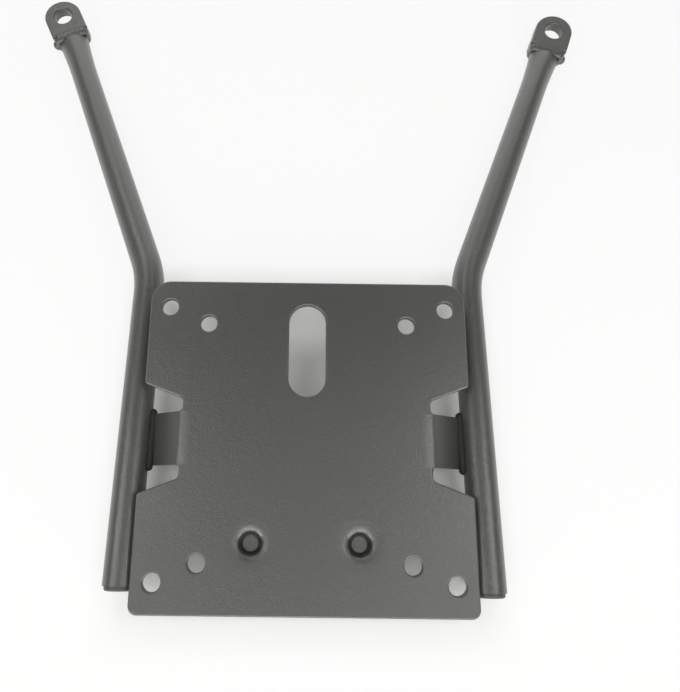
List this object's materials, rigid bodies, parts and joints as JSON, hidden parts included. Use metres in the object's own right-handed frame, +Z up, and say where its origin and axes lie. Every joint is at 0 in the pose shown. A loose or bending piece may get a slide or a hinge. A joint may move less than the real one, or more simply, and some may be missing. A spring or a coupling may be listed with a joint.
{
  "type": "motorcycle luggage rack",
  "caption": "Rear luggage rack: slotted, drilled carrier plate with side wings folded down to bent tubes that splay forward as arms ending in bolt-on lugs.",
  "frame": {"origin": "centre of the carrier plate's top face", "axes": "+Z up out of the plate's top face, +Y forward along the tubes towards the arms and lugs, +X to the right"},
  "size_m": [0.3505, 0.3743, 0.0562],
  "materials": {
    "coated_steel": "fine-textured satin powder coat, dark grey",
    "plug_plastic": "moulded black polyethylene"
  },
  "bodies": {
    "root": {"carrier_plate": "coated_steel", "left_tube": "coated_steel", "right_tube": "coated_steel", "left_lug": "coated_steel", "right_lug": "coated_steel", "left_lug_weld": "coated_steel", "right_lug_weld": "coated_steel", "left_wing_weld": "coated_steel", "right_wing_weld": "coated_steel", "left_end_plug": "plug_plastic", "right_end_plug": "plug_plastic"}
  },
  "joints": []
}
